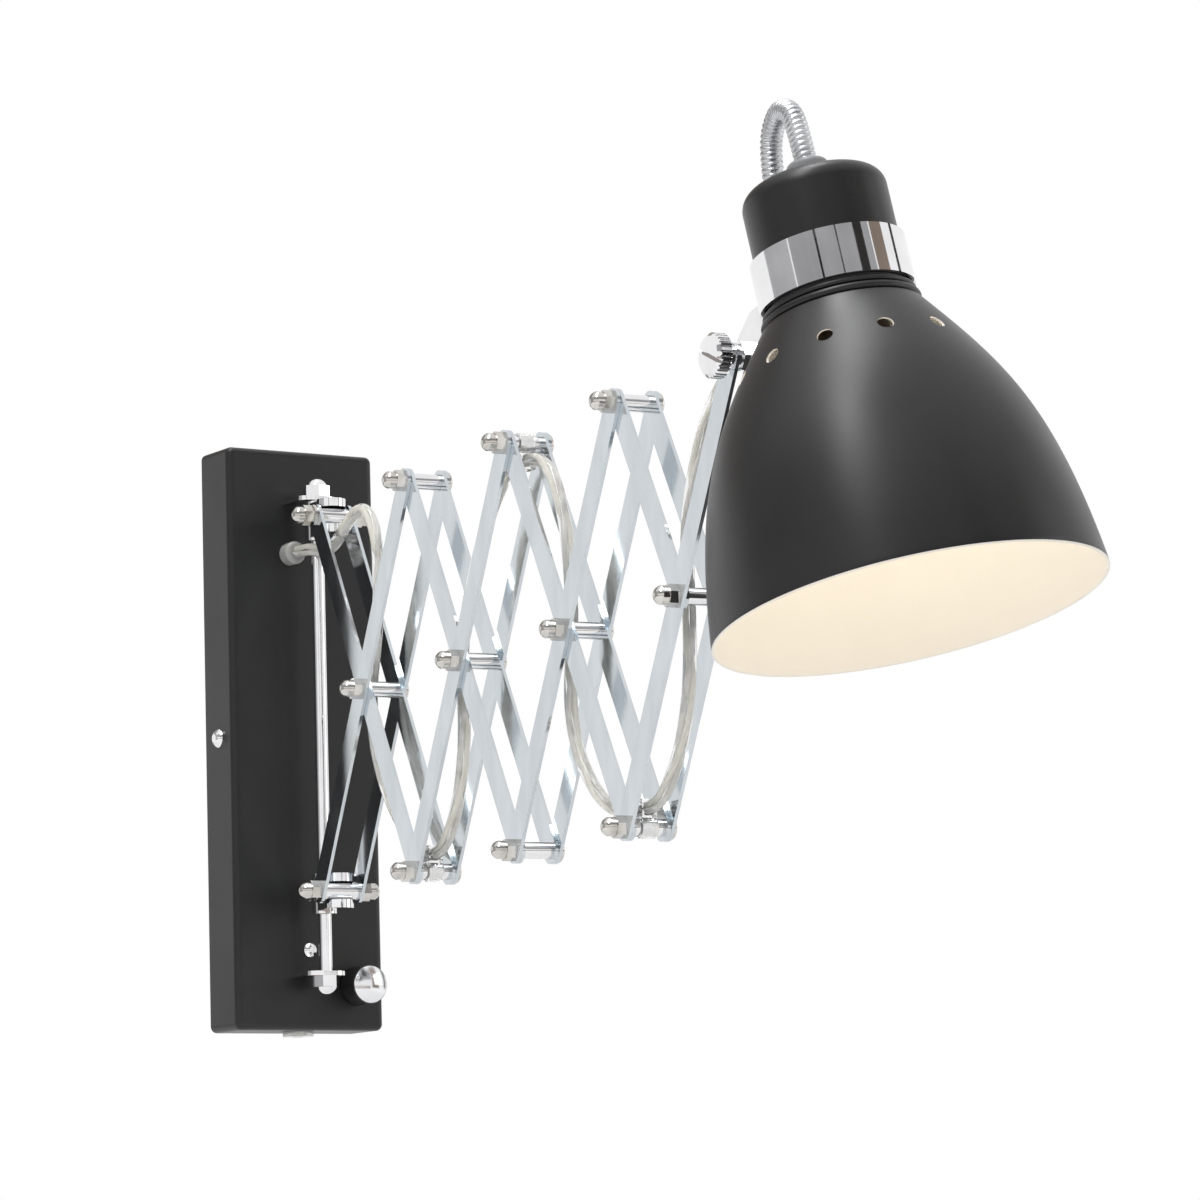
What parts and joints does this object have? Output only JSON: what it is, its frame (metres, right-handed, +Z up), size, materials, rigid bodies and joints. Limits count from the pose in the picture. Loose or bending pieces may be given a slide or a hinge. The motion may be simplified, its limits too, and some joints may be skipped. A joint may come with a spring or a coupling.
{
  "type": "accordion wall lamp",
  "caption": "Wall lamp with a bell shade on a scissor arm of flat bars that swings on an upright rod, stretches out and holds a tilting head fed by a clear cable.",
  "frame": {"origin": "on the wall, behind the middle of the wall plate", "axes": "+X to the right along the wall, -Y out into the room, +Z up along the plate and its rod"},
  "size_m": [0.1472, 0.6046, 0.3239],
  "materials": {
    "black_paint": "satin",
    "shade_black": "satin",
    "chrome": "polished",
    "bar_nickel": "polished",
    "steel": "plain",
    "clear_cable": "clear",
    "clear_plastic": "clear",
    "grey_plastic": "satin",
    "black_plastic": "satin",
    "white_plastic": "satin",
    "bulb_opal": "opal"
  },
  "bodies": {
    "plate": {"wall_cover": "black_paint", "wall_bracket": "steel", "cover_screws": "chrome", "rod_lugs": "chrome", "pivot_rod": "chrome", "rod_cap_nuts": "chrome", "cable_gland": "clear_plastic", "cable_outlet_gland": "clear_plastic", "terminal_block": "white_plastic", "dimmer_body": "black_plastic", "cable_lead": "clear_cable"},
    "knob": {"dimmer_knob": "black_plastic", "knob_cap": "chrome"},
    "swing_carrier": {"upper_carrier": "chrome", "upper_carrier_tube": "chrome", "upper_carrier_bolt": "chrome", "upper_rod_washers": "chrome"},
    "sliding_carrier": {"lower_carrier": "chrome", "lower_carrier_tube": "chrome", "lower_carrier_bolt": "chrome", "lower_rod_washers": "chrome"},
    "spine_1": {"spine_bars_1": "bar_nickel", "spine_1_spacers": "chrome", "spine_1_bolts": "chrome", "cable_clip_1": "clear_plastic", "cable_span_1": "clear_cable"},
    "spine_2": {"spine_bars_2": "bar_nickel", "spine_2_spacers": "chrome", "spine_2_bolts": "chrome", "cable_clip_2": "clear_plastic", "cable_span_2": "clear_cable"},
    "spine_3": {"spine_bars_3": "bar_nickel", "spine_3_spacers": "chrome", "spine_3_bolts": "chrome", "cable_clip_3": "clear_plastic", "cable_span_3": "clear_cable"},
    "spine_4": {"spine_bars_4": "bar_nickel", "spine_4_spacers": "chrome", "spine_4_bolts": "chrome", "tilt_collars": "chrome", "tilt_nut": "chrome", "cable_span_4": "clear_cable"},
    "cross_1": {"cross_bars_1": "bar_nickel", "cross_1_spacers": "chrome", "cross_1_bolts": "chrome"},
    "cross_2": {"cross_bars_2": "bar_nickel", "cross_2_spacers": "chrome", "cross_2_bolts": "chrome"},
    "cross_3": {"cross_bars_3": "bar_nickel", "cross_3_spacers": "chrome", "cross_3_bolts": "chrome"},
    "end_half": {"end_half_bars": "bar_nickel"},
    "thumb": {"thumb_screw": "chrome"},
    "head": {"head_clamp_band": "chrome", "lamp_cap": "shade_black", "shade": "shade_black", "hose_bushing": "grey_plastic", "lampholder": "white_plastic", "bulb": "bulb_opal", "spring_hose": "chrome"}
  },
  "joints": [
    {"name": "swing", "type": "hinge", "parent": "plate", "child": "swing_carrier", "pos_m": [0, -0.0402, 0], "axis": [0, 0, 1], "range_deg": [-60.15, 69.85], "deforming": ["cable_lead"]},
    {"name": "extend", "type": "hinge", "parent": "swing_carrier", "child": "spine_1", "pos_m": [-0.00133, -0.05584, 0.0972], "axis": [-0.9964, 0.0845, 0], "range_deg": [-21, 30], "deforming": ["cable_span_1"]},
    {"name": "spine_2_fold", "type": "hinge", "parent": "spine_1", "child": "spine_2", "pos_m": [-0.00959, -0.15328, -0.0719], "axis": [-0.9964, 0.0845, 0], "range_deg": [-60.5, 42.5], "deforming": ["cable_span_2"]},
    {"name": "spine_3_fold", "type": "hinge", "parent": "spine_2", "child": "spine_3", "pos_m": [-0.01786, -0.25072, 0.0972], "axis": [-0.9964, 0.0845, 0], "range_deg": [-42.5, 60.5], "deforming": ["cable_span_3"]},
    {"name": "spine_4_fold", "type": "hinge", "parent": "spine_3", "child": "spine_4", "pos_m": [-0.02613, -0.34815, -0.0719], "axis": [-0.9964, 0.0845, 0], "range_deg": [-60.5, 42.5], "deforming": ["cable_span_4"]},
    {"name": "cross_1_fold", "type": "hinge", "parent": "spine_1", "child": "cross_1", "pos_m": [-0.00546, -0.10456, 0.01265], "axis": [-0.9964, 0.0845, 0], "range_deg": [-60.5, 42.5]},
    {"name": "cross_2_fold", "type": "hinge", "parent": "spine_2", "child": "cross_2", "pos_m": [-0.01373, -0.202, 0.01265], "axis": [-0.9964, 0.0845, 0], "range_deg": [-42.5, 60.5]},
    {"name": "cross_3_fold", "type": "hinge", "parent": "spine_3", "child": "cross_3", "pos_m": [-0.022, -0.29944, 0.01265], "axis": [-0.9964, 0.0845, 0], "range_deg": [-60.5, 42.5]},
    {"name": "end_half_fold", "type": "hinge", "parent": "spine_4", "child": "end_half", "pos_m": [-0.03026, -0.39687, 0.01265], "axis": [-0.9964, 0.0845, 0], "range_deg": [-42.5, 60.5]},
    {"name": "lower_carrier_turn", "type": "hinge", "parent": "cross_1", "child": "sliding_carrier", "pos_m": [-0.00133, -0.05584, -0.0719], "axis": [-0.9964, 0.0845, 0], "range_deg": [-21.5, 30.5]},
    {"name": "head_tilt", "type": "hinge", "parent": "spine_4", "child": "head", "pos_m": [-0.0344, -0.44559, 0.0972], "axis": [-0.9964, 0.0845, 0], "range_deg": [-30, 75], "deforming": ["spring_hose"]},
    {"name": "thumb_screw_turn", "type": "hinge", "parent": "spine_4", "child": "thumb", "pos_m": [-0.0344, -0.44559, 0.0972], "axis": [-0.9964, 0.0845, 0], "range_deg": [0, 360]},
    {"name": "dimmer_turn", "type": "hinge", "parent": "plate", "child": "knob", "pos_m": [0.0235, -0.026, -0.112], "axis": [0, -1, 0], "range_deg": [-150, 150]}
  ],
  "couplings": [
    {"joint": "spine_2_fold", "follows": "extend", "ratio": -2},
    {"joint": "spine_3_fold", "follows": "extend", "ratio": 2},
    {"joint": "spine_4_fold", "follows": "extend", "ratio": -2},
    {"joint": "cross_1_fold", "follows": "extend", "ratio": -2},
    {"joint": "cross_2_fold", "follows": "extend", "ratio": 2},
    {"joint": "cross_3_fold", "follows": "extend", "ratio": -2},
    {"joint": "end_half_fold", "follows": "extend", "ratio": 2},
    {"joint": "lower_carrier_turn", "follows": "extend", "ratio": 1}
  ]
}
